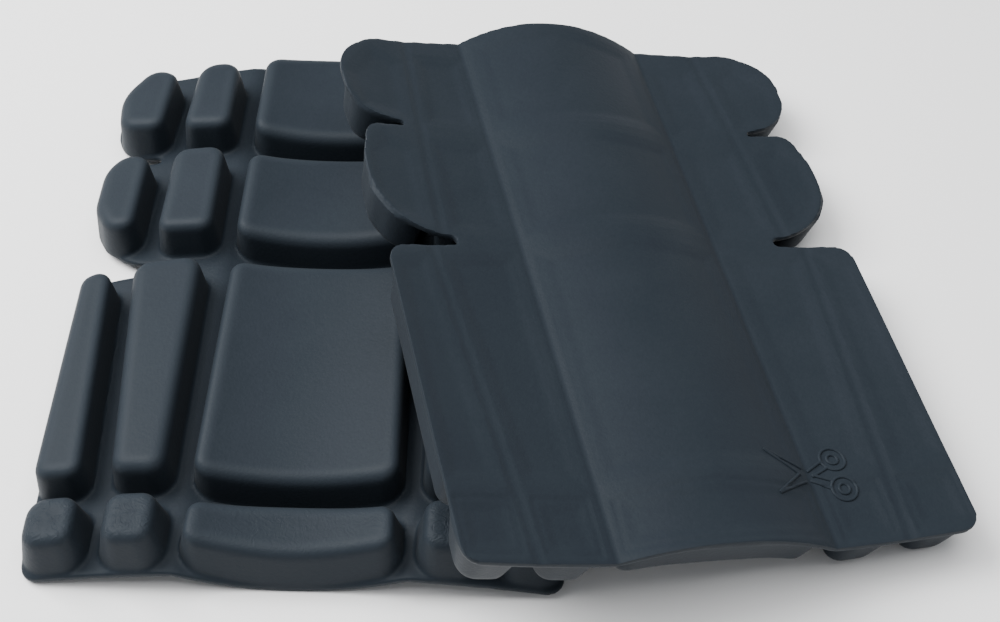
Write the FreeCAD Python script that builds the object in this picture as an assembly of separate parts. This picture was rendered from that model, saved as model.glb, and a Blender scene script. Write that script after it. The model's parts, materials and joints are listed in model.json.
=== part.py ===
"""A pair of moulded foam knee-pad inserts, one lying across the other.

Each pad is one foam moulding: a thin backing sheet with twenty raised blocks in
five columns and four rows. The sheet is bent into a shallow W across its width,
and slots in both sides let the outer edge flex in two flaps. The blocks face the
knee. The lower pad lies with its blocks up and the upper pad with its blocks down.

Every part of a moulding that bends separately is a node of its own, split along
the grooves, and so is every block.

Pad frame: +X to the right with the blocks facing up, +Y towards the top of the
pad, +Z out of the block side. The smooth face touches Z = 0 along its middle.
"""
import FreeCAD, Part
import math
import os

Vector = FreeCAD.Vector

# Section across the pad
SHEET = 2.5              # thickness of the backing sheet
BLOCK_TOP = 18.5         # smooth face to block tops
CENTRE_RADIUS = 92.6     # smooth face of the middle column
CENTRE_ANGLE = 22.5      # slope where the middle column ends
CREASE_TANGENT = 3.1     # from the crease's corner to the ends of its round
CREASE_RISE = 0.4        # how far the round's top lies above its ends
CREASE_DROP = 0.3        # how far the round's top lies under its corner
SIDE_ANGLE_IN = 5.0      # downward slope beside the crease
SIDE_ANGLE_OUT = 12.5    # downward slope at the outer edge

# Outline of the backing sheet
HALF_WIDTH = 90.0
BOTTOM_Y = -125.0
TOP_Y = 119.5
CREASE_TOP_Y = 113.5     # top end of the crease, where the middle dome starts
SLOT_Y = 5.3             # middle of the slot between rows 2 and 3
SLOT_TIP_X = 62.5

# Edge hinges: the line each edge flap bends along, as (x, y) at both ends
EDGE_HINGE_HALF = 2.2
UPPER_EDGE_LINE = ((67.8, 5.0), (62.0, 110.0))
LOWER_EDGE_LINE = ((64.8, -125.0), (73.1, 1.0))

# Blocks
SWELL = 0.9              # how far a block stands out from its set-out plan
DRAFT = 1.8              # how far a block's foot stands out from its top
END_DRAFT = 3.4          # the same for the bottom row's blocks
END_ROW = 4
TOP_ROUND = 3.0          # round along a block's top edges

# Spare lengths of the shapes that cut others to size
LOFT_SPARE = 8.0
SLAB_SPARE = 3.0
TOOL_SPARE = 8.0
TOOL_DEPTH = 50.0
TOOL_LENGTH = 150.0

# How the upper pad lies: tilt raises its left side, turn swings its top end left
UPPER_TILT = 14.3
UPPER_TURN = 14.0
UPPER_PLACE = (112.6, -4.3, 41.0)

# Plan of the sheet's right half from bottom to top: each corner, and a point on the
# way to it where the run to it is round
HALF_OUTLINE = [
    ((0, BOTTOM_Y), None), ((84, BOTTOM_Y), None), ((90, -119), (88.2, -123.2)),
    ((90, -7), None), ((82.5, 0.6), (87.8, -1.8)), ((64.8, 3.1), None),
    ((64.8, 7.5), (SLOT_TIP_X, SLOT_Y)), ((89.3, 26), (80.5, 13)), ((88, 52), (90.5, 40)),
    ((79, 60.6), (85.5, 58.2)), ((72.2, 61.2), None), ((72.2, 63.8), (70.9, 62.5)),
    ((79, 64.8), None), ((91.5, 83), (88, 71)), ((82, 104.5), (90, 95)),
    ((69, 109.3), (76, 108.2)),
]

# Set-out corners of each block on the right half, each (x, y, corner radius)
MIDDLE_BLOCKS = {
    1: [(-31.5, 66, 5), (31.5, 66, 5), (30.8, 107, 7), (0, 114, 90), (-30.8, 107, 7)],
    2: [(-32, 12.5, 5), (32, 12.5, 5), (31.5, 52.5, 5), (0, 55, 200), (-31.5, 52.5, 5)],
    3: [(-33.2, -93, 5), (33.2, -93, 5), (31.5, -2.5, 5), (0, 0, 200), (-31.5, -2.5, 5)],
    4: [(-32.8, -119, 4), (0, -121, 200), (32.8, -119, 4), (32.4, -105.5, 4),
        (0, -103.5, 200), (-32.4, -105.5, 4)],
}
INNER_BLOCKS = {
    1: [(43, 66, 4), (59.5, 66.5, 4), (57, 99.5, 7), (42.5, 100.5, 6)],
    2: [(43, 12.5, 4), (61.5, 12.5, 4), (60.5, 52.5, 5), (43, 53, 5)],
    3: [(44.5, -93.5, 4), (60.3, -93, 4), (67.4, -4.5, 5), (44.5, -2.5, 5)],
    4: [(45, -120, 4), (59.3, -119.5, 4), (59.3, -104, 4), (45, -104, 4)],
}
OUTER_BLOCKS = {
    1: [(70.5, 67.5, 4), (86, 69, 7), (88, 86, 16), (77, 100.5, 7), (68.2, 95.5, 4)],
    2: [(73.5, 15, 4), (82, 15.5, 8), (88, 26, 12), (87.5, 45, 12), (80, 53, 7), (72.5, 48.5, 4)],
    3: [(72.8, -94, 4), (87, -94, 4), (86.5, -9.5, 4), (77.7, -6, 4)],
    4: [(71.5, -119.5, 4), (86, -120, 5), (86, -104.5, 5), (71.5, -104, 4)],
}
COLUMNS = {"inner": INNER_BLOCKS, "outer": OUTER_BLOCKS}


def arc(first, middle, last):
    """An arc through three plan points."""
    return Part.Arc(Vector(*first), Vector(*middle), Vector(*last)).toShape()


def line(first, last):
    """A straight edge between two points."""
    return Part.LineSegment(Vector(*first), Vector(*last)).toShape()


def prism(wire):
    """The plan wire drawn up through every height of the pad."""
    wire = wire.copy()
    wire.translate(Vector(0, 0, -TOOL_DEPTH))
    return Part.Face(wire).extrude(Vector(0, 0, 2 * TOOL_DEPTH))


def section_points():
    """Points and slopes that set out the right half of the smooth face."""
    centre = math.radians(CENTRE_ANGLE)
    inner = math.radians(SIDE_ANGLE_IN)
    outer = math.radians(SIDE_ANGLE_OUT)
    arc_end = (CENTRE_RADIUS * math.sin(centre), CENTRE_RADIUS * (1 - math.cos(centre)))
    corner = (arc_end[0] + CREASE_TANGENT * math.cos(centre),
              arc_end[1] + CREASE_TANGENT * math.sin(centre))
    side_start = (corner[0] + CREASE_TANGENT * math.cos(inner),
                  corner[1] - CREASE_TANGENT * math.sin(inner))
    side_radius = (HALF_WIDTH - side_start[0]) / (math.sin(outer) - math.sin(inner))
    side_axis = (side_start[0] - side_radius * math.sin(inner),
                 side_start[1] - side_radius * math.cos(inner))
    return arc_end, corner, side_start, side_radius, side_axis


ARC_END, CREASE_CORNER, SIDE_START, SIDE_RADIUS, SIDE_AXIS = section_points()


def smooth_height(x):
    """Height of the smooth face over the plan point x, outside the crease's round."""
    x = abs(x)
    if x <= ARC_END[0]:
        return CENTRE_RADIUS - math.sqrt(CENTRE_RADIUS ** 2 - x ** 2)
    if x >= SIDE_START[0]:
        return SIDE_AXIS[1] + math.sqrt(SIDE_RADIUS ** 2 - (x - SIDE_AXIS[0]) ** 2)
    return 0.5 * (ARC_END[1] + SIDE_START[1]) + CREASE_RISE


def section_edges(rise):
    """The smooth face's section from the left edge to the right, lifted by rise."""
    reach = HALF_WIDTH + SLAB_SPARE
    turn = math.radians(CENTRE_ANGLE + SIDE_ANGLE_IN)
    crease_radius = CREASE_TANGENT / math.tan(turn / 2)
    centre = math.radians(CENTRE_ANGLE)
    crease_axis = (ARC_END[0] + crease_radius * math.sin(centre),
                   ARC_END[1] - crease_radius * math.cos(centre))
    bisector = math.radians(CENTRE_ANGLE) - turn / 2
    crease_mid = (crease_axis[0] - crease_radius * math.sin(bisector),
                  crease_axis[1] + crease_radius * math.cos(bisector))

    def point(x, z, side):
        return (side * x, 0, z + rise)

    def half(side):
        middle_x = 0.5 * (SIDE_START[0] + reach)
        return [arc(point(*ARC_END, side), point(*crease_mid, side), point(*SIDE_START, side)),
                arc(point(*SIDE_START, side), point(middle_x, smooth_height(middle_x), side),
                    point(reach, smooth_height(reach), side))]

    middle = arc(point(*ARC_END, -1), point(0, 0, 1), point(*ARC_END, 1))
    return list(reversed(half(-1))) + [middle] + half(1)


def slab(low, high):
    """The layer between two liftings of the section, longer than the pad."""
    reach = HALF_WIDTH + SLAB_SPARE
    edge_z = smooth_height(reach)
    ends = [line((side * reach, 0, edge_z + low), (side * reach, 0, edge_z + high)) for side in (-1, 1)]
    wire = Part.Wire(Part.__sortEdges__(section_edges(low) + section_edges(high) + ends))
    layer = Part.Face(wire).extrude(Vector(0, 2 * TOOL_LENGTH, 0))
    layer.translate(Vector(0, -TOOL_LENGTH, 0))
    return layer


def outline():
    """The backing sheet's plan outline."""
    crease_x = CREASE_CORNER[0]
    stations = HALF_OUTLINE + [((crease_x, CREASE_TOP_Y), None)]
    edges = [arc((-crease_x, CREASE_TOP_Y), (0, TOP_Y), (crease_x, CREASE_TOP_Y))]
    for side in (-1, 1):
        for (first, _), (last, via) in zip(stations, stations[1:]):
            ends = [(side * x, y) for x, y in (first, last)]
            if via:
                edges.append(arc(ends[0], (side * via[0], via[1]), ends[1]))
            else:
                edges.append(line(*ends))
    return Part.Wire(Part.__sortEdges__(edges))


def rounded_polygon(corners, z):
    """A closed wire of straight sides and tangent corner arcs at height z."""
    count = len(corners)
    edges = []
    starts = []
    ends = []
    mids = []
    for index in range(count):
        before = Vector(*corners[index - 1][:2], 0)
        here = Vector(*corners[index][:2], 0)
        after = Vector(*corners[(index + 1) % count][:2], 0)
        to_before = (before - here).normalize()
        to_after = (after - here).normalize()
        half_angle = to_before.getAngle(to_after) / 2
        radius = corners[index][2]
        tangent = radius / math.tan(half_angle)
        bisector = (to_before + to_after).normalize()
        starts.append(here + to_before * tangent)
        ends.append(here + to_after * tangent)
        mids.append(here + bisector * (radius / math.sin(half_angle) - radius))
    lift = Vector(0, 0, z)
    for index in range(count):
        following = (index + 1) % count
        edges.append(Part.Arc(starts[index] + lift, mids[index] + lift, ends[index] + lift).toShape())
        edges.append(Part.LineSegment(ends[index] + lift, starts[following] + lift).toShape())
    return Part.Wire(edges)


def grown(corners, margin):
    """The same convex polygon with every side moved outwards by a margin."""
    count = len(corners)
    points = [Vector(x, y, 0) for x, y, _ in corners]
    result = []
    for index in range(count):
        before = (points[index] - points[index - 1]).normalize()
        after = (points[(index + 1) % count] - points[index]).normalize()
        normal_before = Vector(before.y, -before.x, 0)
        normal_after = Vector(after.y, -after.x, 0)
        bisector = (normal_before + normal_after).normalize()
        moved = points[index] + bisector * (margin / bisector.dot(normal_before))
        result.append((moved.x, moved.y, corners[index][2] + margin))
    return result


def mirrored(corners):
    """The polygon on the other side of the pad, still counter-clockwise."""
    return [(-x, y, radius) for x, y, radius in reversed(corners)]


def block(corners, draft, layer):
    """A block with drafted walls, standing on the sheet, with rounded top edges."""
    middle_x = sum(x for x, _, _ in corners) / len(corners)
    base = smooth_height(middle_x) + SHEET
    height = BLOCK_TOP - SHEET
    slope = draft / height
    foot = rounded_polygon(grown(corners, SWELL + draft + slope * LOFT_SPARE), base - LOFT_SPARE)
    head = rounded_polygon(grown(corners, SWELL - slope * LOFT_SPARE), base + height + LOFT_SPARE)
    solid = Part.makeLoft([foot, head], True, True).common(layer)
    top = max(solid.Faces, key=lambda face: face.CenterOfMass.z)
    return solid.makeFillet(TOP_ROUND, top.OuterWire.Edges)


def row_draft(row):
    """The draft of a row's blocks."""
    return END_DRAFT if row == END_ROW else DRAFT


def strip_wire(points):
    """A closed plan wire of straight sides."""
    closed = [Vector(x, y, 0) for x, y in points + [points[0]]]
    return Part.makePolygon(closed)


def edge_x(edge_line, y, shift):
    """X on an edge hinge's line at y, moved outwards by shift."""
    (x0, y0), (x1, y1) = edge_line
    return x0 + (x1 - x0) * (y - y0) / (y1 - y0) + shift


def sheet_regions(side):
    """Plan regions of one side of the sheet, keyed by the piece that each becomes."""
    low = BOTTOM_Y - TOOL_SPARE
    high = TOP_Y + TOOL_SPARE
    crease_in = ARC_END[0]
    crease_out = SIDE_START[0]
    far = HALF_WIDTH + TOOL_SPARE
    half = EDGE_HINGE_HALF

    def at(edge_line, y, shift):
        return (side * edge_x(edge_line, y, shift), y)

    def band(edge_line, y_from, y_to, shift_in, shift_out):
        return [at(edge_line, y_from, shift_in), at(edge_line, y_from, shift_out),
                at(edge_line, y_to, shift_out), at(edge_line, y_to, shift_in)]

    return {
        "crease": [(side * crease_in, low), (side * crease_out, low),
                   (side * crease_out, high), (side * crease_in, high)],
        "wing_sheet": [(side * crease_out, low), at(LOWER_EDGE_LINE, low, -half),
                       at(LOWER_EDGE_LINE, SLOT_Y, -half), at(UPPER_EDGE_LINE, SLOT_Y, -half),
                       at(UPPER_EDGE_LINE, high, -half), (side * crease_out, high)],
        "lower_edge_crease": band(LOWER_EDGE_LINE, low, SLOT_Y, -half, half),
        "upper_edge_crease": band(UPPER_EDGE_LINE, SLOT_Y, high, -half, half),
        "lower_edge_sheet": [at(LOWER_EDGE_LINE, low, half), (side * far, low),
                             (side * far, SLOT_Y), at(LOWER_EDGE_LINE, SLOT_Y, half)],
        "upper_edge_sheet": [at(UPPER_EDGE_LINE, SLOT_Y, half), (side * far, SLOT_Y),
                             (side * far, high), at(UPPER_EDGE_LINE, high, half)],
    }


def single(shape):
    """The one solid that a cut leaves."""
    solids = sorted(shape.Solids, key=lambda solid: solid.Volume)
    return solids[-1]


def pad_pieces(folding_sides):
    """One pad's pieces in the pad frame, keyed by name; sides are -1 and 1 in X."""
    sheet = slab(0, SHEET).common(prism(outline()))
    layer = slab(SHEET, BLOCK_TOP)
    low = BOTTOM_Y - TOOL_SPARE
    high = TOP_Y + TOOL_SPARE
    reach = {side: ARC_END[0] if side in folding_sides else HALF_WIDTH + TOOL_SPARE for side in (-1, 1)}
    middle = strip_wire([(-reach[-1], low), (reach[1], low), (reach[1], high), (-reach[-1], high)])
    pieces = {("centre", "sheet"): single(sheet.common(prism(middle)))}
    for row, corners in MIDDLE_BLOCKS.items():
        pieces[("centre", f"block_{row}")] = single(block(corners, row_draft(row), layer))
    for side in (-1, 1):
        if side in folding_sides:
            for name, region in sheet_regions(side).items():
                pieces[(side, name)] = single(sheet.common(prism(strip_wire(region))))
        for column, rows in COLUMNS.items():
            for row, corners in rows.items():
                placed = corners if side > 0 else mirrored(corners)
                made = block(placed, row_draft(row), layer)
                pieces[(side, f"{column}_block_{row}")] = single(made)
    return pieces


def upper_placement():
    """Where the upper pad lies: turned over, tilted, swung round and moved."""
    over = FreeCAD.Rotation(Vector(0, 1, 0), 180)
    tilt = FreeCAD.Rotation(Vector(0, 1, 0), UPPER_TILT)
    swing = FreeCAD.Rotation(Vector(0, 0, 1), UPPER_TURN)
    return FreeCAD.Placement(Vector(*UPPER_PLACE), swing.multiply(tilt).multiply(over))


def piece_name(pad, side, name, flipped):
    """A node's name, with its side as seen from above."""
    if side == "centre":
        return f"{pad}_centre_{name}"
    seen = -side if flipped else side
    return f"{pad}_{'right' if seen > 0 else 'left'}_{name}"


def model():
    """Every piece of both pads in the model frame, with the move that centres them."""
    shapes = {}
    for pad, folding_sides, placement in (("lower", (-1,), FreeCAD.Placement()),
                                          ("upper", (-1, 1), upper_placement())):
        for (side, name), shape in pad_pieces(folding_sides).items():
            placed = shape.copy()
            placed.Placement = placement.multiply(placed.Placement)
            shapes[piece_name(pad, side, name, pad == "upper")] = placed
    box = Part.makeCompound(list(shapes.values())).optimalBoundingBox(False)
    shift = Vector(-box.Center.x, -box.Center.y, -box.ZMin)
    for shape in shapes.values():
        shape.translate(shift)
    return shapes, shift


def fold_axes(shift):
    """Print where each fold's axis runs, in the model frame."""
    mid = SHEET / 2
    crease = [(CREASE_CORNER[0], y, CREASE_CORNER[1] - CREASE_DROP + mid)
              for y in (BOTTOM_Y, CREASE_TOP_Y)]
    edges = {"upper_edge": UPPER_EDGE_LINE, "lower_edge": LOWER_EDGE_LINE}
    lines = {"wing": crease}
    for name, ends in edges.items():
        lines[name] = [(x, y, smooth_height(x) + mid) for x, y in ends]
    for pad, placement in (("lower", FreeCAD.Placement()), ("upper", upper_placement())):
        for side in (-1, 1):
            for name, (first, last) in lines.items():
                a, b = (placement.multVec(Vector(side * x, y, z)) + shift for x, y, z in (first, last))
                print("axis", piece_name(pad, side, name, pad == "upper"), tuple(a), tuple(b))


def main():
    """Build every piece and write one STEP file for each."""
    os.makedirs("parts", exist_ok=True)
    shapes, shift = model()
    for name, shape in shapes.items():
        shape.exportStep(f"parts/{name}.step")
    fold_axes(shift)
    print("pieces", len(shapes), "shift", tuple(shift))


main()
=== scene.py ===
"""A pair of moulded foam knee-pad inserts, one lying turned over across the other.

Both pads are the same moulding: a thin backing sheet with twenty soft blocks, bent
into a shallow W across its width. It is modelled once, flat, then bent, copied and
cut along its folding grooves, so that every flap is a piece and every groove is a
strip of its own.

Pad frame, in metres: X across the pad, Y towards its top, Z out of the block side.
"""
import json
import math

import bpy
import numpy as np
from bpy.props import FloatProperty, FloatVectorProperty, IntProperty, PointerProperty
from mathutils import Matrix, Vector, noise


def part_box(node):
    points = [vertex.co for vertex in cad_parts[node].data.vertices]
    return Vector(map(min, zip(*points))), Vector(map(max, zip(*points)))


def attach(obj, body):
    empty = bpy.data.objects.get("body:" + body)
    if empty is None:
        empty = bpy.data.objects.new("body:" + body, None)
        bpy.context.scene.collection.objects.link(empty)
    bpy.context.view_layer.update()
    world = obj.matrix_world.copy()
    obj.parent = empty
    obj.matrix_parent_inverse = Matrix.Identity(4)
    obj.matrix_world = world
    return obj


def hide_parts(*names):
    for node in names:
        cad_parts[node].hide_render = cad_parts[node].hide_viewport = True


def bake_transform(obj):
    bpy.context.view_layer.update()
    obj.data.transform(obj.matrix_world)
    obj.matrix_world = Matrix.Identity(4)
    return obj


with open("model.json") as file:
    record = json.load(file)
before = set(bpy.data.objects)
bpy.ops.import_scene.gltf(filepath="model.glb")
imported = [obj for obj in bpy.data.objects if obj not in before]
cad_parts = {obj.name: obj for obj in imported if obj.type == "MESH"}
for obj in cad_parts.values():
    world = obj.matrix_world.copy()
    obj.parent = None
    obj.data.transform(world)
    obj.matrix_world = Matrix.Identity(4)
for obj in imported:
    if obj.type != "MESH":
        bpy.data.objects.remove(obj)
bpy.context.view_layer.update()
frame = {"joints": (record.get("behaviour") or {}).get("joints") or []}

bl_info = {
    "name": "Foam Knee Pad Inserts",
    "version": (1, 0, 0),
    "blender": (4, 5, 0),
    "location": "View3D > Sidebar > Knee Pads",
    "description": "Models a pair of folding foam knee-pad inserts and their studio",
    "category": "Object",
}

MM = 0.001
CORNER_SPARE = 0.0005     # how much rounder a block's corners are in plan than its top edges (m)
CORNER_STEPS = 8          # facets of a block's corner in plan
OUTLINE_STEPS = 12        # facets of each round stretch of the sheet's outline
ROUND_STEPS = 7           # facets of the round along a block's top edges
WIDE_BLOCK = 20.0         # blocks narrower than this have smaller rounds (mm)
FEWEST_FACES = 10000      # a moulding with fewer faces has lost its detail
WELD = 2e-6               # points of a cut end that lie this close become one (m)
ROWS = (1, 2, 3, 4)
TRIM_ROW = 4

# Section of the smooth face: a round middle column, two creases and two wings (mm)
CENTRE_RADIUS = 92.6
CENTRE_ANGLE = math.radians(22.5)
CREASE_TANGENT = 3.1
CREASE_AXIS_RISE = 0.95   # the wing folds' axes above the smooth face's corner
WING_ANGLE_IN = math.radians(5.0)
WING_ANGLE_OUT = math.radians(12.5)
HALF_WIDTH = 90.0

# Plan of the sheet's right half from the bottom to the top (mm): each corner, and
# a point on the way to it when the run to it is round.
HALF_OUTLINE = (
    ((0, -125), None), ((84, -125), None), ((90, -119), (88.2, -123.2)),
    ((90, -7), None), ((82.5, 0.6), (87.8, -1.8)), ((64.8, 3.1), None),
    ((64.8, 7.5), (62.5, 5.3)), ((89.3, 26), (80.5, 13)), ((88, 52), (90.5, 40)),
    ((79, 60.6), (85.5, 58.2)), ((72.2, 61.2), None), ((72.2, 63.8), (70.9, 62.5)),
    ((79, 64.8), None), ((91.5, 83), (88, 71)), ((82, 104.5), (90, 95)),
    ((69, 109.3), (76, 108.2)), ((38.3, 113.5), None), ((0, 119.5), (19.4, 118.0)),
)
SLOT_Y = 5.3

# Relief of the smooth face: depths, and how far each mark reaches (mm)
HOLLOW_EDGE = (-3.5, 3.0)       # a hollow deepens from here to here inside a block's plan
LINE_EDGES = (-3.6, -2.2, -0.8) # outer side, deepest place and inner side of its border line
LINE_DEPTH = 0.10
TRIM_LINE_DEPTH = 0.28
FLAP_LINE_DEPTH, FLAP_LINE_REACH = 0.35, 3.0
CREASE_LINE_DEPTH, CREASE_LINE_REACH = 0.14, 1.6
WAVE_SCALE, WAVE_HEIGHT = 38.0, 0.12

# Lines that the outer flaps fold along, from bottom to top (mm)
UPPER_FLAP_LINE = ((67.8, 5.0), (62.0, 110.0))
LOWER_FLAP_LINE = ((64.8, -125.0), (73.1, 1.0))
FLAP_GROOVE_HALF = 2.2
CUT_REACH = 4.0           # a cut beside a crease reaches faces this near to it

# Corners of each block's top on the right half: x, y and corner radius (mm)
MIDDLE_BLOCKS = {
    1: ((-31.5, 66, 5), (31.5, 66, 5), (30.8, 107, 7), (0, 114, 90), (-30.8, 107, 7)),
    2: ((-32, 12.5, 5), (32, 12.5, 5), (31.5, 52.5, 5), (0, 55, 200), (-31.5, 52.5, 5)),
    3: ((-33.2, -93, 5), (33.2, -93, 5), (31.5, -2.5, 5), (0, 0, 200), (-31.5, -2.5, 5)),
    4: ((-32.8, -119, 4), (0, -121, 200), (32.8, -119, 4), (32.4, -105.5, 4),
        (0, -103.5, 200), (-32.4, -105.5, 4)),
}
INNER_BLOCKS = {
    1: ((43, 66, 4), (59.5, 66.5, 4), (57, 99.5, 7), (42.5, 100.5, 6)),
    2: ((43, 12.5, 4), (61.5, 12.5, 4), (60.5, 52.5, 5), (43, 53, 5)),
    3: ((44.5, -93.5, 4), (60.3, -93, 4), (67.4, -4.5, 5), (44.5, -2.5, 5)),
    4: ((45, -120, 4), (59.3, -119.5, 4), (59.3, -104, 4), (45, -104, 4)),
}
OUTER_BLOCKS = {
    1: ((70.5, 67.5, 4), (86, 69, 7), (88, 86, 16), (77, 100.5, 7), (68.2, 95.5, 4)),
    2: ((73.5, 15, 4), (82, 15.5, 8), (88, 26, 12), (87.5, 45, 12), (80, 53, 7), (72.5, 48.5, 4)),
    3: ((72.8, -94, 4), (87, -94, 4), (86.5, -9.5, 4), (77.7, -6, 4)),
    4: ((71.5, -119.5, 4), (86, -120, 5), (86, -104.5, 5), (71.5, -104, 4)),
}


# Plan and section of the moulding

def section_stations():
    """Where the middle arc, the crease's corner and the wing's arc begin and end."""
    arc_end = (CENTRE_RADIUS * math.sin(CENTRE_ANGLE),
               CENTRE_RADIUS * (1 - math.cos(CENTRE_ANGLE)))
    corner = (arc_end[0] + CREASE_TANGENT * math.cos(CENTRE_ANGLE),
              arc_end[1] + CREASE_TANGENT * math.sin(CENTRE_ANGLE))
    wing_start = (corner[0] + CREASE_TANGENT * math.cos(WING_ANGLE_IN),
                  corner[1] - CREASE_TANGENT * math.sin(WING_ANGLE_IN))
    return arc_end, corner, wing_start


ARC_END, CREASE_CORNER, WING_START = section_stations()


def section_height(across):
    """Height of the smooth face over each distance from the pad's middle line (mm)."""
    across = np.abs(across)
    turn = CENTRE_ANGLE + WING_ANGLE_IN
    crease_radius = CREASE_TANGENT / math.tan(turn / 2)
    crease_x = ARC_END[0] + crease_radius * math.sin(CENTRE_ANGLE)
    crease_z = ARC_END[1] - crease_radius * math.cos(CENTRE_ANGLE)
    wing_radius = (HALF_WIDTH - WING_START[0]) / (math.sin(WING_ANGLE_OUT) - math.sin(WING_ANGLE_IN))
    wing_x = WING_START[0] - wing_radius * math.sin(WING_ANGLE_IN)
    wing_z = WING_START[1] - wing_radius * math.cos(WING_ANGLE_IN)

    def round_at(radius, x, low):
        return np.sqrt(np.maximum(radius ** 2 - x ** 2, low))

    middle = CENTRE_RADIUS - round_at(CENTRE_RADIUS, across, 0)
    crease = crease_z + round_at(crease_radius, across - crease_x, 0)
    wing = wing_z + round_at(wing_radius, across - wing_x, 0)
    return np.where(across < ARC_END[0], middle, np.where(across < WING_START[0], crease, wing))


def arc_points(first, via, last, steps):
    """Points after first, up to and with last, on the circle through all three."""
    (ax, ay), (bx, by), (cx, cy) = first, via, last
    double = 2 * (ax * (by - cy) + bx * (cy - ay) + cx * (ay - by))
    a2, b2, c2 = ax * ax + ay * ay, bx * bx + by * by, cx * cx + cy * cy
    centre = ((a2 * (by - cy) + b2 * (cy - ay) + c2 * (ay - by)) / double,
              (a2 * (cx - bx) + b2 * (ax - cx) + c2 * (bx - ax)) / double)
    radius = math.dist(centre, first)
    start, middle, end = (math.atan2(p[1] - centre[1], p[0] - centre[0]) for p in (first, via, last))
    full = 2 * math.pi
    sweep = (end - start) % full
    if (middle - start) % full > sweep:
        sweep -= full
    return [(centre[0] + radius * math.cos(start + sweep * k / steps),
             centre[1] + radius * math.sin(start + sweep * k / steps)) for k in range(1, steps + 1)]


def outline_points(steps):
    """The whole sheet's plan, anticlockwise (mm)."""
    right = [HALF_OUTLINE[0][0]]
    for point, via in HALF_OUTLINE[1:]:
        right += arc_points(right[-1], via, point, steps) if via else [point]
    left = [(-x, y) for x, y in reversed(right[1:-1])]
    return right + left


def rounded_points(corners, grow, least, steps):
    """A convex block's plan, its corners at least so round, its sides moved out by grow (mm)."""
    points = [Vector(corner[:2]) for corner in corners]
    count = len(points)
    moved = []
    for index, here in enumerate(points):
        before = (here - points[index - 1]).normalized()
        after = (points[(index + 1) % count] - here).normalized()
        out_before, out_after = Vector((before.y, -before.x)), Vector((after.y, -after.x))
        middle = (out_before + out_after).normalized()
        moved.append(here + middle * (grow / middle.dot(out_before)))
    result = []
    for index, here in enumerate(moved):
        to_before = (moved[index - 1] - here).normalized()
        to_after = (moved[(index + 1) % count] - here).normalized()
        half_angle = to_before.angle(to_after) / 2
        radius = max(corners[index][2], least) + grow
        tangent = radius / math.tan(half_angle)
        middle = (to_before + to_after).normalized()
        via = here + middle * (radius / math.sin(half_angle) - radius)
        first, last = here + to_before * tangent, here + to_after * tangent
        result.append(tuple(first))
        result += arc_points(tuple(first), tuple(via), tuple(last), steps)
    return result


def every_block():
    """Each block of the pad as its column, its row and its top's corners."""
    for row, corners in MIDDLE_BLOCKS.items():
        yield "middle", row, corners
    for column, rows in (("inner", INNER_BLOCKS), ("outer", OUTER_BLOCKS)):
        for row, corners in rows.items():
            yield column, row, corners
            yield column, row, tuple((-x, y, radius) for x, y, radius in reversed(corners))


def inside_distance(corners, points):
    """How far each plan point lies inside the block's plan, negative outside it (mm)."""
    distance = np.full(len(points), np.inf)
    for index, corner in enumerate(corners):
        a, b = np.array(corners[index - 1][:2], float), np.array(corner[:2], float)
        along = (b - a) / np.linalg.norm(b - a)
        inward = np.array((-along[1], along[0]))
        distance = np.minimum(distance, (points - a) @ inward)
    return distance


def soft_step(values, start, end):
    """0 before start, 1 after end, and smooth between."""
    t = np.clip((values - start) / (end - start), 0, 1)
    return t * t * (3 - 2 * t)


def flap_line_x(fold_line, y, shift=0.0):
    """X on a flap's fold line at y, moved outwards by shift (mm)."""
    (x0, y0), (x1, y1) = fold_line
    return x0 + (x1 - x0) * (y - y0) / (y1 - y0) + shift


# Mesh helpers

def deselect():
    """Leave nothing selected, in object mode."""
    if bpy.context.object and bpy.context.object.mode != "OBJECT":
        bpy.ops.object.mode_set(mode="OBJECT")
    bpy.ops.object.select_all(action="DESELECT")


def pick(*objs):
    """Select these objects and make the first one active."""
    deselect()
    for obj in objs:
        obj.select_set(True)
    bpy.context.view_layer.objects.active = objs[0]
    return objs[0]


def read_points(obj):
    """The mesh's points as rows of x, y and z."""
    co = np.empty(len(obj.data.vertices) * 3)
    obj.data.vertices.foreach_get("co", co)
    return co.reshape(-1, 3)


def write_points(obj, co):
    """Move the mesh's points."""
    obj.data.vertices.foreach_set("co", co.astype(np.float32).ravel())
    obj.data.update()


def plan_disc(name, points, height):
    """A flat filled disc whose rim is moved onto the plan points (mm) at a height (mm)."""
    deselect()
    bpy.ops.mesh.primitive_circle_add(vertices=len(points), radius=1.0, fill_type="NGON")
    disc = bpy.context.object
    disc.name = name
    write_points(disc, np.array([(x * MM, y * MM, height * MM) for x, y in points]))
    bpy.ops.object.mode_set(mode="EDIT")
    bpy.ops.mesh.select_all(action="SELECT")
    return disc


def close_solid():
    """Put a face under the piece in edit mode, so that it is closed, and leave edit mode."""
    bpy.ops.mesh.select_mode(type="EDGE")
    bpy.ops.mesh.select_all(action="DESELECT")
    bpy.ops.mesh.select_non_manifold(extend=False, use_wire=False, use_multi_face=False,
                                     use_non_contiguous=False, use_verts=False)
    bpy.ops.mesh.edge_face_add()
    bpy.ops.mesh.select_all(action="SELECT")
    bpy.ops.mesh.normals_make_consistent(inside=False)
    bpy.ops.object.mode_set(mode="OBJECT")


def face_centres(obj):
    """Centres of the mesh's faces as rows of x, y and z."""
    centres = np.empty(len(obj.data.polygons) * 3)
    obj.data.polygons.foreach_get("center", centres)
    return centres.reshape(-1, 3)


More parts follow.
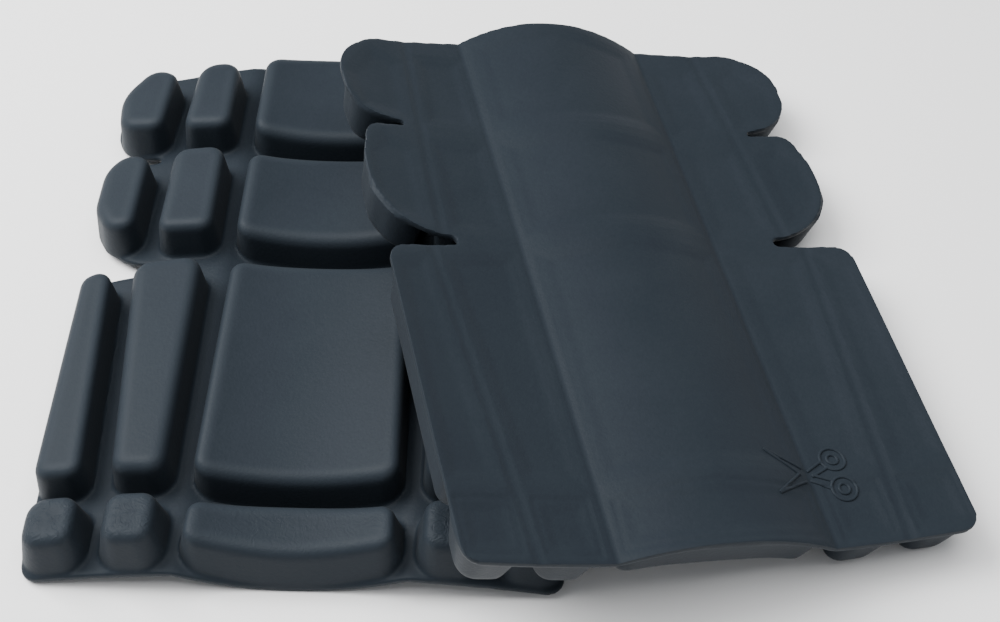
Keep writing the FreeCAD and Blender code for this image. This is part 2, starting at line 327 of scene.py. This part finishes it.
def select_faces(obj, chosen):
    """Select the chosen faces only, from object mode, and go to edit mode."""
    bpy.context.view_layer.objects.active = obj
    bpy.ops.object.mode_set(mode="EDIT")
    bpy.ops.mesh.select_mode(type="FACE")
    bpy.ops.mesh.select_all(action="DESELECT")
    bpy.ops.object.mode_set(mode="OBJECT")
    obj.data.polygons.foreach_set("select", chosen)
    bpy.ops.object.mode_set(mode="EDIT")


# Shader helpers

class Blend:
    """A value that varies over the surface. Arithmetic on it adds Math nodes."""

    def __init__(self, finish, socket):
        self.finish = finish
        self.socket = socket

    def maths(self, operation, *terms, clamp=False):
        inputs = {index: term for index, term in enumerate(terms)}
        return self.finish.add("ShaderNodeMath", {"operation": operation, "use_clamp": clamp}, inputs)

    def __add__(self, other):
        return self.maths("ADD", self, other)

    def __sub__(self, other):
        return self.maths("SUBTRACT", self, other)

    def __rsub__(self, other):
        return self.maths("SUBTRACT", other, self)

    def __mul__(self, other):
        return self.maths("MULTIPLY", self, other)

    __radd__ = __add__
    __rmul__ = __mul__

    def between(self, low, high):
        """0 where the value is low or less, 1 where it is high or more."""
        return self.maths("MULTIPLY", self - low, 1 / (high - low), clamp=True)


class Finish:
    """A material under construction."""

    def __init__(self, name):
        self.material = bpy.data.materials.new(name)
        self.material.use_nodes = True
        self.tree = self.material.node_tree
        self.tree.nodes.clear()

    def add(self, kind, settings=None, inputs=None, output=0):
        """Add one node: its settings first, then its sockets' values and links."""
        node = self.tree.nodes.new(kind)
        for key, value in (settings or {}).items():
            setattr(node, key, value)
        for key, value in (inputs or {}).items():
            socket = node.inputs[key]
            if isinstance(value, Blend):
                self.tree.links.new(value.socket, socket)
            else:
                socket.default_value = value
        return None if output is None else Blend(self, node.outputs[output])

    def ramp(self, value, *stops):
        """Colours along a value; each stop is a position and a colour."""
        ramp = self.add("ShaderNodeValToRGB", {}, {"Fac": value})
        elements = ramp.socket.node.color_ramp.elements
        for element, (position, colour) in zip(elements, stops):
            element.position = position
            element.color = (*colour, 1.0)
        return ramp

    def surface(self, shader):
        """Use the shader as the material's surface and return the material."""
        self.add("ShaderNodeOutputMaterial", {}, {"Surface": shader}, output=None)
        return self.material


def foam_finish(name, colours):
    """Fine closed-cell foam with a moulded skin: mottled, grained and slightly waxy, with a painted
    highlight along the blocks' top edges.
    """
    foam = Finish(name)
    place = foam.add("ShaderNodeTexCoord", output=3)
    clouds = foam.add("ShaderNodeTexNoise", {}, {"Vector": place, "Scale": 26.0, "Detail": 5.0,
                                                 "Roughness": 0.6, "Distortion": 0.4})
    speckle = foam.add("ShaderNodeTexNoise", {}, {"Vector": place, "Scale": 620.0, "Detail": 4.0,
                                                  "Roughness": 0.7})
    grain = foam.add("ShaderNodeTexNoise", {}, {"Vector": place, "Scale": 1500.0, "Detail": 3.0,
                                                "Roughness": 0.65})
    cells = foam.add("ShaderNodeTexVoronoi", {"feature": "SMOOTH_F1"},
                     {"Vector": place, "Scale": 900.0, "Smoothness": 0.6, "Randomness": 1.0})
    folds = foam.add("ShaderNodeTexNoise", {}, {"Vector": place, "Scale": 210.0, "Detail": 3.0,
                                                "Roughness": 0.55, "Distortion": 1.8})
    creased = foam.add("ShaderNodeAttribute", {"attribute_name": "creased"}, output=2)
    highlighted = foam.add("ShaderNodeAttribute", {"attribute_name": "highlighted"}, output=2)
    tone = clouds * 0.55 + speckle * 0.45
    base = foam.ramp(tone.between(0.25, 0.75), (0.0, colours.shade), (1.0, colours.light))
    # Painted highlight: the colour is lightened in a band along each block's top edge, where light
    # would catch its round.
    edge = foam.add("ShaderNodeMix", {"data_type": "RGBA", "blend_type": "MIX"},
                    {0: highlighted * 0.5, 6: base, 7: (*colours.highlighted, 1.0)}, output=2)
    roughness = 0.40 + clouds * 0.14 + grain * 0.10
    relief = grain * 0.5 + cells * 0.5 + speckle * 0.6
    fine = foam.add("ShaderNodeBump", {}, {"Strength": 0.30, "Distance": 0.00025, "Height": relief})
    ridges = foam.add("ShaderNodeMath", {"operation": "ABSOLUTE"}, {0: folds - 0.5})
    skin = foam.add("ShaderNodeBump", {}, {"Strength": 0.8, "Distance": 0.0009,
                                           "Height": ridges * creased, "Normal": fine})
    shader = foam.add("ShaderNodeBsdfPrincipled", {}, {
        "Base Color": edge, "Roughness": roughness, "IOR": 1.46, "Specular IOR Level": 0.10,
        "Sheen Weight": 0.02, "Sheen Roughness": 0.5, "Normal": skin})
    return foam.surface(shader)


def floor_finish(name, colour):
    """A matt pale paper floor with a trace of unevenness."""
    paper = Finish(name)
    place = paper.add("ShaderNodeTexCoord", output=3)
    cloud = paper.add("ShaderNodeTexNoise", {}, {"Vector": place, "Scale": 3.0, "Detail": 3.0})
    low = tuple(channel * 0.985 for channel in colour)
    shade = paper.ramp(cloud, (0.3, low), (0.7, colour))
    return paper.surface(paper.add("ShaderNodeBsdfPrincipled", {}, {
        "Base Color": shade, "Roughness": 0.9, "Specular IOR Level": 0.1}))


# Settings

class KneePadSizes(bpy.types.PropertyGroup):
    """Sizes of the moulding that a user would change."""

    sheet: FloatProperty(name="Sheet", description="Thickness of the backing sheet",
                         default=0.0025, min=0.001, unit="LENGTH", precision=4)
    height: FloatProperty(name="Height", description="From the smooth face to the block tops",
                          default=0.0185, min=0.008, unit="LENGTH", precision=4)
    draft: FloatProperty(name="Draft", description="How far a block's foot stands out from its top",
                         default=0.0018, min=0.0, unit="LENGTH", precision=4)
    end_draft: FloatProperty(name="End draft", description="The same for the bottom row's blocks",
                             default=0.0034, min=0.0, unit="LENGTH", precision=4)
    spread: FloatProperty(name="Spread", description="How far the foam swells past a block's plan",
                          default=0.0009, min=0.0, unit="LENGTH", precision=4)
    rounding: FloatProperty(name="Rounding", description="Round along the top edges of the blocks",
                            default=0.0042, min=0.001, unit="LENGTH", precision=4)
    small_rounding: FloatProperty(name="Small rounding",
                                  description="Round along the top edges of the narrow blocks",
                                  default=0.0033, min=0.001, unit="LENGTH", precision=4)
    detail: FloatProperty(name="Detail", description="Size of the skin's mesh",
                          default=0.0010, min=0.0008, unit="LENGTH", precision=4)
    softness: IntProperty(name="Softness", description="How often the skin is smoothed",
                          default=4, min=1, max=30)
    imprint: FloatProperty(name="Imprint", description="Depth of the hollows behind the blocks",
                           default=0.0006, min=0.0, unit="LENGTH", precision=4)


class KneePadColours(bpy.types.PropertyGroup):
    """Colours of the foam."""

    shade: FloatVectorProperty(name="Shade", description="Darker tone of the foam",
                               subtype="COLOR", size=3, min=0, max=1, default=(0.0105, 0.0149, 0.0204))
    light: FloatVectorProperty(name="Light", description="Lighter tone of the foam",
                               subtype="COLOR", size=3, min=0, max=1, default=(0.0157, 0.0211, 0.0275))
    # Painted highlight: the lighter colour painted along the blocks' top edges.
    highlighted: FloatVectorProperty(name="Highlighted", description="Foam where the block edges are rubbed",
                                subtype="COLOR", size=3, min=0, max=1, default=(0.0213, 0.0273, 0.0342))


class KneePadStudio(bpy.types.PropertyGroup):
    """Lights, floor and surroundings."""

    floor: FloatVectorProperty(name="Floor", description="Colour of the floor", subtype="COLOR",
                               size=3, min=0, max=1, default=(0.92, 0.92, 0.92))
    overhead: FloatProperty(name="Overhead", description="Power of the overhead softbox",
                            default=16.0, min=0, unit="POWER")
    side: FloatProperty(name="Side", description="Power of the light on the left",
                        default=27.0, min=0, unit="POWER")
    surround: FloatProperty(name="Surround", description="Strength of the pale surroundings",
                            default=0.40, min=0)


# The moulding

def model_sheet(sizes):
    """The flat backing sheet."""
    sheet = plan_disc("sheet_blank", outline_points(OUTLINE_STEPS), 0.0)
    bpy.ops.mesh.extrude_region_move(TRANSFORM_OT_translate={"value": (0, 0, sizes.sheet)})
    close_solid()
    return sheet


def raise_ring(block, ring, height):
    """Extrude the block's cap upwards and move its rim onto the ring (mm) at a height."""
    bpy.ops.object.mode_set(mode="EDIT")
    bpy.ops.mesh.extrude_region_move()
    bpy.ops.object.mode_set(mode="OBJECT")
    cap = next(face for face in block.data.polygons if face.select)
    for index, (x, y) in zip(cap.vertices, ring):
        block.data.vertices[index].co = (x * MM, y * MM, height)


def model_block(corners, row, sizes):
    """One block: a foot sunk in the sheet, a drafted wall and a rounded top."""
    sunk = 0.5 * sizes.sheet
    width = max(x for x, _, _ in corners) - min(x for x, _, _ in corners)
    narrow = row == TRIM_ROW or width < WIDE_BLOCK
    rounding = sizes.small_rounding if narrow else sizes.rounding
    draft = sizes.end_draft if row == TRIM_ROW else sizes.draft
    slope = draft / (sizes.height - sizes.sheet)
    least = (rounding + CORNER_SPARE) / MM

    def ring(inwards, height):
        grow = sizes.spread + slope * (sizes.height - height) - inwards
        return rounded_points(corners, grow / MM, least, CORNER_STEPS)

    block = plan_disc("block_blank", ring(0.0, sunk), sunk / MM)
    bpy.ops.mesh.select_mode(type="FACE")
    for step in range(ROUND_STEPS + 1):
        turn = 0.5 * math.pi * step / ROUND_STEPS
        height = sizes.height - rounding * (1 - math.sin(turn))
        raise_ring(block, ring(rounding * (1 - math.cos(turn)), height), height)
    bpy.ops.object.mode_set(mode="EDIT")
    close_solid()
    return block


def smooth_side_relief(co, sizes):
    """How deep the hollows, the lines and the sharp creases are pressed at each point (mm)."""
    plan = co[:, :2] / MM
    relief = np.zeros(len(co))
    line_out, line_middle, line_in = LINE_EDGES
    for _, row, corners in every_block():
        inside = inside_distance(corners, plan)
        hollow = soft_step(inside, *HOLLOW_EDGE)
        line = soft_step(inside, line_out, line_middle) * (1 - soft_step(inside, line_middle, line_in))
        relief = np.maximum(relief, hollow * sizes.imprint / MM)
        relief += line * (TRIM_LINE_DEPTH if row == TRIM_ROW else LINE_DEPTH)
    x, y = np.abs(plan[:, 0]), plan[:, 1]
    fold = np.where(y > SLOT_Y, flap_line_x(UPPER_FLAP_LINE, y), flap_line_x(LOWER_FLAP_LINE, y))
    away = np.abs(x - fold)
    relief += FLAP_LINE_DEPTH * (1 - soft_step(away, 0.0, FLAP_LINE_REACH))
    up_to_corner = ARC_END[1] + (x - ARC_END[0]) * math.tan(CENTRE_ANGLE)
    from_corner = WING_START[1] - (x - WING_START[0]) * math.tan(WING_ANGLE_IN)
    in_crease = (x > ARC_END[0]) & (x < WING_START[0])
    relief += np.where(in_crease, np.minimum(up_to_corner, from_corner) - section_height(x), 0)
    from_crease = np.abs(x - CREASE_CORNER[0])
    return relief + CREASE_LINE_DEPTH * (1 - soft_step(from_crease, 0.0, CREASE_LINE_REACH))


def bend_and_wave_height(co):
    """How far the pad's bend and the skin's slight unevenness lift each point (metres)."""
    wave = np.array([noise.noise(Vector(p) * WAVE_SCALE) for p in co])
    return ((1 + wave) * WAVE_HEIGHT + section_height(co[:, 0] / MM)) * MM


def skin_marks(moulding, sizes):
    """Store where the skin is creased, and the band along each block's top edge that the foam's finish
    paints with a highlight.
    """
    co = read_points(moulding)
    plan = co[:, :2] / MM
    top = soft_step(co[:, 2], 0.75 * sizes.height, 0.92 * sizes.height)
    creased = np.zeros(len(co))
    highlighted = np.zeros(len(co))
    for column, row, corners in every_block():
        inside = inside_distance(corners, plan)
        over = soft_step(inside, -2.0, 1.0)
        if row == TRIM_ROW:
            creased = np.maximum(creased, over * top * (0.35 if column == "middle" else 1.0))
        # Painted highlight: a band on each block's top along its edge, which the finish paints lighter.
        ring = soft_step(inside, -1.5, 1.0) * (1 - soft_step(inside, 1.5, 5.0))
        highlighted = np.maximum(highlighted, ring * top)
    for name, values in (("creased", creased), ("highlighted", highlighted)):
        attribute = moulding.data.attributes.new(name, "FLOAT", "POINT")
        attribute.data.foreach_set("value", values.astype(np.float32))


def bend_and_wave(moulding, sizes):
    """Hollow the smooth face, add a slight unevenness, and bend the flat pad into its W."""
    co = read_points(moulding)
    smooth_face = 1 - soft_step(co[:, 2], 0.2 * sizes.sheet, 0.6 * sizes.sheet)
    co[:, 2] += smooth_face * smooth_side_relief(co, sizes) * MM
    co[:, 2] += bend_and_wave_height(co)
    write_points(moulding, co)


class KNEEPAD_OT_moulding(bpy.types.Operator):
    """Model the moulding that both pads are copies of"""

    bl_idname = "kneepad.moulding"
    bl_label = "Moulding"

    def execute(self, context):
        sizes = context.scene.knee_pad_sizes
        blanks = [model_sheet(sizes)]
        blanks += [model_block(corners, row, sizes) for _, row, corners in every_block()]
        moulding = pick(*blanks)
        bpy.ops.object.join()
        moulding.name = moulding.data.name = "moulding"
        moulding.data.remesh_voxel_size = sizes.detail
        moulding.data.use_remesh_fix_poles = False
        bpy.ops.object.voxel_remesh()
        smooth = moulding.modifiers.new("Soft skin", "SMOOTH")
        smooth.factor = 0.5
        smooth.iterations = sizes.softness
        bpy.ops.object.modifier_apply(modifier=smooth.name)
        if len(moulding.data.polygons) < FEWEST_FACES:
            raise RuntimeError("the moulding's skin came out too coarse")
        skin_marks(moulding, sizes)
        bend_and_wave(moulding, sizes)
        moulding.data.materials.clear()
        moulding.data.materials.append(foam_finish("moulded_foam", context.scene.knee_pad_colours))
        return {"FINISHED"}


# Cutting and placing the pads

def joint(name):
    """A joint of the frame by its name."""
    return next(entry for entry in frame["joints"] if entry["name"] == name)


def joint_place(name):
    """A point on a joint's axis, and the axis's direction."""
    entry = joint(name)
    return Vector(entry["pos_m"]), Vector(entry["axis"]).normalized()


def lower_pad_matrix():
    """Where the lower pad lies, from its sheet and its big middle block."""
    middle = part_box("lower_centre_block_3")
    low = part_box("lower_centre_sheet")[0]
    return Matrix.Translation(((middle[0][0] + middle[1][0]) / 2,
                               low[1] - HALF_OUTLINE[0][0][1] * MM, low[2]))


def upper_pad_matrix():
    """Where the upper pad lies, from its two wing folds."""
    left, along = joint_place("upper_left_wing_fold")
    right, _ = joint_place("upper_right_wing_fold")
    across = (left - right).normalized()
    out = across.cross(along).normalized()
    middle = (left + right) / 2
    crease_middle_y = 0.5 * (HALF_OUTLINE[0][0][1] + HALF_OUTLINE[-2][0][1]) * MM
    crease_z = (CREASE_CORNER[1] + CREASE_AXIS_RISE) * MM
    origin = middle - along * crease_middle_y - out * crease_z
    turn = Matrix((across, along, out)).transposed().to_4x4()
    return Matrix.Translation(origin) @ turn


def cut(obj, chosen, point, normal):
    """Cut the chosen faces along an upright plane (mm), and leave both sides joined."""
    across = Vector(normal).normalized()
    select_faces(obj, chosen)
    bpy.ops.mesh.bisect(plane_co=(point[0] * MM, point[1] * MM, 0.0), plane_no=(*across, 0.0),
                        use_fill=False, clear_inner=False, clear_outer=False, threshold=1e-6)
    bpy.ops.object.mode_set(mode="OBJECT")


def cut_grooves(obj, side):
    """Cut one half of a pad along both borders of each of its folding grooves."""
    for x in (ARC_END[0], WING_START[0]):
        centres = face_centres(obj) / MM
        cut(obj, np.abs(centres[:, 0] - side * x) < CUT_REACH, (side * x, 0), (1, 0))
    for fold_line, upper in ((UPPER_FLAP_LINE, True), (LOWER_FLAP_LINE, False)):
        for shift in (-FLAP_GROOVE_HALF, FLAP_GROOVE_HALF):
            centres = face_centres(obj) / MM
            beyond = side * centres[:, 0] > WING_START[0] + CUT_REACH
            chosen = beyond & ((centres[:, 1] > SLOT_Y) == upper)
            (x0, y0), (x1, y1) = fold_line
            cut(obj, chosen, (side * (x0 + shift), y0), (y1 - y0, -side * (x1 - x0)))


def regions(obj, side):
    """Which faces of one half belong to each of its pieces."""
    centres = face_centres(obj) / MM
    x, y = side * centres[:, 0], centres[:, 1]
    upper = y > SLOT_Y
    fold = np.where(upper, flap_line_x(UPPER_FLAP_LINE, y), flap_line_x(LOWER_FLAP_LINE, y))
    wing = x > WING_START[0]
    groove = wing & (np.abs(x - fold) < FLAP_GROOVE_HALF)
    flap = wing & (x > fold + FLAP_GROOVE_HALF)
    return {
        "crease": (x > ARC_END[0]) & ~wing,
        "upper_edge_crease": groove & upper,
        "lower_edge_crease": groove & ~upper,
        "upper_edge": flap & upper,
        "lower_edge": flap & ~upper,
        "wing": wing & ~groove & ~flap,
    }


def lift_off(obj, chosen, name):
    """Separate the chosen faces as a piece of their own."""
    pick(obj)
    select_faces(obj, chosen)
    bpy.ops.mesh.separate(type="SELECTED")
    bpy.ops.object.mode_set(mode="OBJECT")
    piece = next(o for o in bpy.context.selected_objects if o != obj)
    piece.name = piece.data.name = name
    return piece


def finish_piece(piece, matrix):
    """Close the piece's cut ends with sharp rims, place it and shade it smooth."""
    pick(piece)
    bpy.ops.object.mode_set(mode="EDIT")
    bpy.ops.mesh.select_mode(type="EDGE")
    bpy.ops.mesh.select_all(action="SELECT")
    bpy.ops.mesh.remove_doubles(threshold=WELD)
    bpy.ops.mesh.select_non_manifold(extend=False, use_wire=False, use_multi_face=False,
                                     use_non_contiguous=False, use_verts=False)
    bpy.ops.mesh.mark_sharp()
    bpy.ops.mesh.fill_holes(sides=0)
    bpy.ops.mesh.quads_convert_to_tris(quad_method="BEAUTY", ngon_method="BEAUTY")
    bpy.ops.mesh.select_all(action="SELECT")
    bpy.ops.mesh.normals_make_consistent(inside=False)
    bpy.ops.object.mode_set(mode="OBJECT")
    piece.matrix_world = matrix
    bpy.ops.object.transform_apply(location=True, rotation=True, scale=True)
    bpy.ops.object.shade_smooth_by_angle(angle=math.radians(50))


def groove_ends(fold_line, side, matrix):
    """Points at both borders of a groove, square to the line that it folds along."""
    (x0, y0), (x1, y1) = fold_line
    outward = Vector((side * (y1 - y0), x0 - x1, 0)).normalized()
    middle = Vector((side * (x0 + x1) / 2, (y0 + y1) / 2, 0))
    half = outward * FLAP_GROOVE_HALF * abs(outward.x)
    return tuple(matrix @ ((middle - half) * MM)), tuple(matrix @ ((middle + half) * MM))


def nodes_of(prefix, parts):
    """Names of a side's nodes."""
    return [f"{prefix}_{part}" for part in parts]


def place_side(pad, side, hand, halves, matrix):
    """Finish one folding side: its wing, its two flaps and the grooves between them."""
    prefix = f"{pad}_{hand}"
    core, wing = f"{pad}_core", f"{prefix}_wing"
    rides = {
        "wing": (wing, ["wing_sheet"] + [f"inner_block_{row}" for row in ROWS]),
        "upper_edge": (f"{prefix}_upper_edge", ["upper_edge_sheet", "outer_block_1", "outer_block_2"]),
        "lower_edge": (f"{prefix}_lower_edge", ["lower_edge_sheet", "outer_block_3", "outer_block_4"]),
    }
    for part, (body, parts) in rides.items():
        piece = halves[part]
        finish_piece(piece, matrix)
        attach(piece, body)
        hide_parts(*nodes_of(prefix, parts))
    borders = [tuple(matrix @ Vector((side * x * MM, 0, 0))) for x in (ARC_END[0], WING_START[0])]
    strips = {
        "crease": (core, wing, borders),
        "upper_edge_crease": (wing, f"{prefix}_upper_edge", groove_ends(UPPER_FLAP_LINE, side, matrix)),
        "lower_edge_crease": (wing, f"{prefix}_lower_edge", groove_ends(LOWER_FLAP_LINE, side, matrix)),
    }
    for part, (near, far, (start, end)) in strips.items():
        strip = halves[part]
        finish_piece(strip, matrix)
        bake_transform(strip)
        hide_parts(f"{prefix}_{part}")


def place_pad(pad, sides, matrix, core_nodes):
    """Cut a copy of the moulding at the folding sides, and put its pieces in place."""
    moulding = bpy.data.objects["moulding"]
    pick(moulding)
    bpy.ops.object.duplicate(linked=False)
    core = bpy.context.object
    core.name = core.data.name = f"{pad}_core_foam"
    halves = {}
    for side, hand in sides:
        cut_grooves(core, side)
        for part in regions(core, side):
            chosen = regions(core, side)[part]
            halves[side, part] = lift_off(core, chosen, f"{pad}_{hand}_{part}_foam")
    finish_piece(core, matrix)
    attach(core, f"{pad}_core")
    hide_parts(*core_nodes)
    for side, hand in sides:
        own = {part: piece for (where, part), piece in halves.items() if where == side}
        place_side(pad, side, hand, own, matrix)


class KNEEPAD_OT_lower_pad(bpy.types.Operator):
    """Cut and place the lower pad, with its blocks up; its left side folds"""

    bl_idname = "kneepad.lower_pad"
    bl_label = "Lower pad"

    def execute(self, context):
        centre = nodes_of("lower_centre", ["sheet"] + [f"block_{row}" for row in ROWS])
        right = [f"lower_right_{column}_block_{row}" for column in ("inner", "outer") for row in ROWS]
        place_pad("lower", [(-1, "left")], lower_pad_matrix(), centre + right)
        return {"FINISHED"}


class KNEEPAD_OT_upper_pad(bpy.types.Operator):
    """Cut and place the upper pad, with its smooth face up; both sides fold"""

    bl_idname = "kneepad.upper_pad"
    bl_label = "Upper pad"

    def execute(self, context):
        centre = nodes_of("upper_centre", ["sheet"] + [f"block_{row}" for row in ROWS])
        place_pad("upper", [(1, "left"), (-1, "right")], upper_pad_matrix(), centre)
        bpy.data.objects.remove(bpy.data.objects["moulding"])
        return {"FINISHED"}


# The cutting mark

MARK_CENTRE = (-37.6, -97.2)     # the scissors' pivot, on the smooth face's right crease (mm)
MARK_BAR = 0.58                  # half the thickness of its raised lines (mm)
BLADE_TIP = (15.2, 8.6)          # from the pivot (mm)
RING_CENTRE = (11.8, 5.9)
RING_RADII = (4.4, 1.9)
MARK_DETAIL = 0.00024            # size of the voxels that its bars are joined with (m)


def mark_bar(points):
    """One of the mark's round bars along plan points, as a mesh (mm)."""
    curve = bpy.data.curves.new("mark_line", "CURVE")
    curve.dimensions = "3D"
    curve.bevel_depth = MARK_BAR * MM
    curve.bevel_resolution = 3
    curve.use_fill_caps = True
    spline = curve.splines.new("POLY")
    spline.points.add(len(points) - 1)
    for spot, (x, y) in zip(spline.points, points):
        spot.co = (x * MM, y * MM, 0.0, 1.0)
    obj = bpy.data.objects.new("mark_line", curve)
    bpy.context.scene.collection.objects.link(obj)
    pick(obj)
    bpy.ops.object.convert(target="MESH")
    return bpy.context.object


def twin_bars(first, last, half_first, half_last):
    """Two bars, one each side of the line between two points, so far from it at its ends (mm)."""
    along = (last - first).normalized()
    across = Vector((-along.y, along.x))
    return [mark_bar([first + across * half_first * hand, last + across * half_last * hand])
            for hand in (1, -1)]


def mark_parts():
    """Open scissors in raised lines: two tapered blades, two shanks and two double rings."""
    parts = []
    pivot = Vector((0.0, 0.0))
    for hand in (1, -1):
        tip = Vector((BLADE_TIP[0], -BLADE_TIP[1] * hand))
        ring = Vector((-RING_CENTRE[0], RING_CENTRE[1] * hand))
        parts += twin_bars(pivot.lerp(tip, 0.14), tip, 1.7, 0.1)
        parts += twin_bars(pivot.lerp(ring, 0.12), ring.lerp(pivot, 0.32), 1.2, 1.5)
        for radius in RING_RADII:
            deselect()
            bpy.ops.mesh.primitive_torus_add(major_radius=radius * MM, minor_radius=MARK_BAR * MM,
                                             location=(ring.x * MM, ring.y * MM, 0.0),
                                             major_segments=56, minor_segments=12)
            parts.append(bpy.context.object)
    return parts


class KNEEPAD_OT_scissors(bpy.types.Operator):
    """Model the raised scissors that show where the pad may be trimmed"""

    bl_idname = "kneepad.scissors"
    bl_label = "Scissors mark"

    def execute(self, context):
        matrix = upper_pad_matrix()
        mark = pick(*mark_parts())
        bpy.ops.object.join()
        mark = bpy.context.object
        bpy.ops.object.transform_apply(location=True, rotation=True, scale=True)
        mark.name = mark.data.name = "upper_scissors_mark"
        mark.data.remesh_voxel_size = MARK_DETAIL
        bpy.ops.object.voxel_remesh()
        co = read_points(mark)
        co[:, 0] += MARK_CENTRE[0] * MM
        co[:, 1] += MARK_CENTRE[1] * MM
        face = co * (1, 1, 0)
        relief = smooth_side_relief(co, context.scene.knee_pad_sizes) * MM
        co[:, 2] += relief + bend_and_wave_height(face)
        write_points(mark, co)
        smooth = mark.modifiers.new("Soft mark", "SMOOTH")
        smooth.factor = 0.5
        smooth.iterations = 3
        bpy.ops.object.modifier_apply(modifier=smooth.name)
        mark.matrix_world = matrix
        bpy.ops.object.transform_apply(location=True, rotation=True, scale=True)
        bpy.ops.object.shade_smooth_by_angle(angle=math.radians(60))
        mark.data.materials.clear()
        mark.data.materials.append(bpy.data.materials["moulded_foam"])
        ends = [tuple(matrix @ Vector((-x * MM, 0, 0))) for x in (ARC_END[0], WING_START[0])]
        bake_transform(mark)
        return {"FINISHED"}


# Stage

FLOOR_SIZE = 6.0
SIDE_PLACE, SIDE_SIZE = (-0.72, 0.22, 0.88), 0.75
OVERHEAD_PLACE, OVERHEAD_SIZE = (0.0, 0.0, 1.2), 1.1
SURROUND_COLOUR = (0.95, 0.97, 1.0, 1.0)
CAMERA_PLACE = (0.00017, -0.35385, 0.46025)
CAMERA_TURN = (38.18, -0.804, 1.162)     # degrees about X, Y and Z
CAMERA_LENS = 55.758


def softbox(name, location, size, power):
    """A square softbox turned towards the middle of the floor."""
    light = bpy.data.lights.new(name, "AREA")
    light.shape = "SQUARE"
    light.size = size
    light.energy = power
    obj = bpy.data.objects.new(name, light)
    bpy.context.scene.collection.objects.link(obj)
    obj.location = location
    obj.rotation_euler = (-Vector(location)).to_track_quat("-Z", "Y").to_euler()


class KNEEPAD_OT_stage(bpy.types.Operator):
    """Set up the floor, the lights, the surroundings and the camera"""

    bl_idname = "kneepad.stage"
    bl_label = "Stage"

    def execute(self, context):
        studio = context.scene.knee_pad_studio
        deselect()
        bpy.ops.mesh.primitive_plane_add(size=FLOOR_SIZE, location=(0.0, 0.0, 0.0))
        floor = bpy.context.object
        floor.name = "floor"
        floor.data.materials.append(floor_finish("pale_paper", studio.floor))
        softbox("softbox_left", SIDE_PLACE, SIDE_SIZE, studio.side)
        softbox("softbox_overhead", OVERHEAD_PLACE, OVERHEAD_SIZE, studio.overhead)
        world = bpy.data.worlds.new("surround")
        context.scene.world = world
        world.use_nodes = True
        background = world.node_tree.nodes["Background"]
        background.inputs["Color"].default_value = SURROUND_COLOUR
        background.inputs["Strength"].default_value = studio.surround
        data = bpy.data.cameras.new("camera")
        data.lens = CAMERA_LENS
        data.sensor_width = 36.0
        data.sensor_fit = "HORIZONTAL"
        camera = bpy.data.objects.new("camera", data)
        context.scene.collection.objects.link(camera)
        camera.location = CAMERA_PLACE
        camera.rotation_euler = tuple(math.radians(angle) for angle in CAMERA_TURN)
        context.scene.camera = camera
        return {"FINISHED"}


# Panel and registration

OPERATORS = (KNEEPAD_OT_moulding, KNEEPAD_OT_lower_pad, KNEEPAD_OT_upper_pad,
             KNEEPAD_OT_scissors, KNEEPAD_OT_stage)
GROUPS = {"knee_pad_sizes": KneePadSizes, "knee_pad_colours": KneePadColours,
          "knee_pad_studio": KneePadStudio}


class KNEEPAD_PT_panel(bpy.types.Panel):
    """Settings and steps of the knee pads"""

    bl_idname = "KNEEPAD_PT_panel"
    bl_label = "Knee Pads"
    bl_space_type = "VIEW_3D"
    bl_region_type = "UI"
    bl_category = "Knee Pads"

    def draw(self, context):
        column = self.layout.column()
        for name, group in GROUPS.items():
            for setting in group.__annotations__:
                column.prop(getattr(context.scene, name), setting)
        for operator in OPERATORS:
            column.operator(operator.bl_idname)


def register():
    for group in GROUPS.values():
        bpy.utils.register_class(group)
    for name, group in GROUPS.items():
        setattr(bpy.types.Scene, name, PointerProperty(type=group))
    for cls in OPERATORS + (KNEEPAD_PT_panel,):
        bpy.utils.register_class(cls)


def unregister():
    for cls in reversed(OPERATORS + (KNEEPAD_PT_panel,)):
        bpy.utils.unregister_class(cls)
    for name, group in GROUPS.items():
        delattr(bpy.types.Scene, name)
        bpy.utils.unregister_class(group)


def main():
    """Build both pads, the mark and the stage."""
    register()
    bpy.ops.kneepad.moulding()
    bpy.ops.kneepad.lower_pad()
    bpy.ops.kneepad.upper_pad()
    bpy.ops.kneepad.scissors()
    bpy.ops.kneepad.stage()


if __name__ == "__main__":
    main()
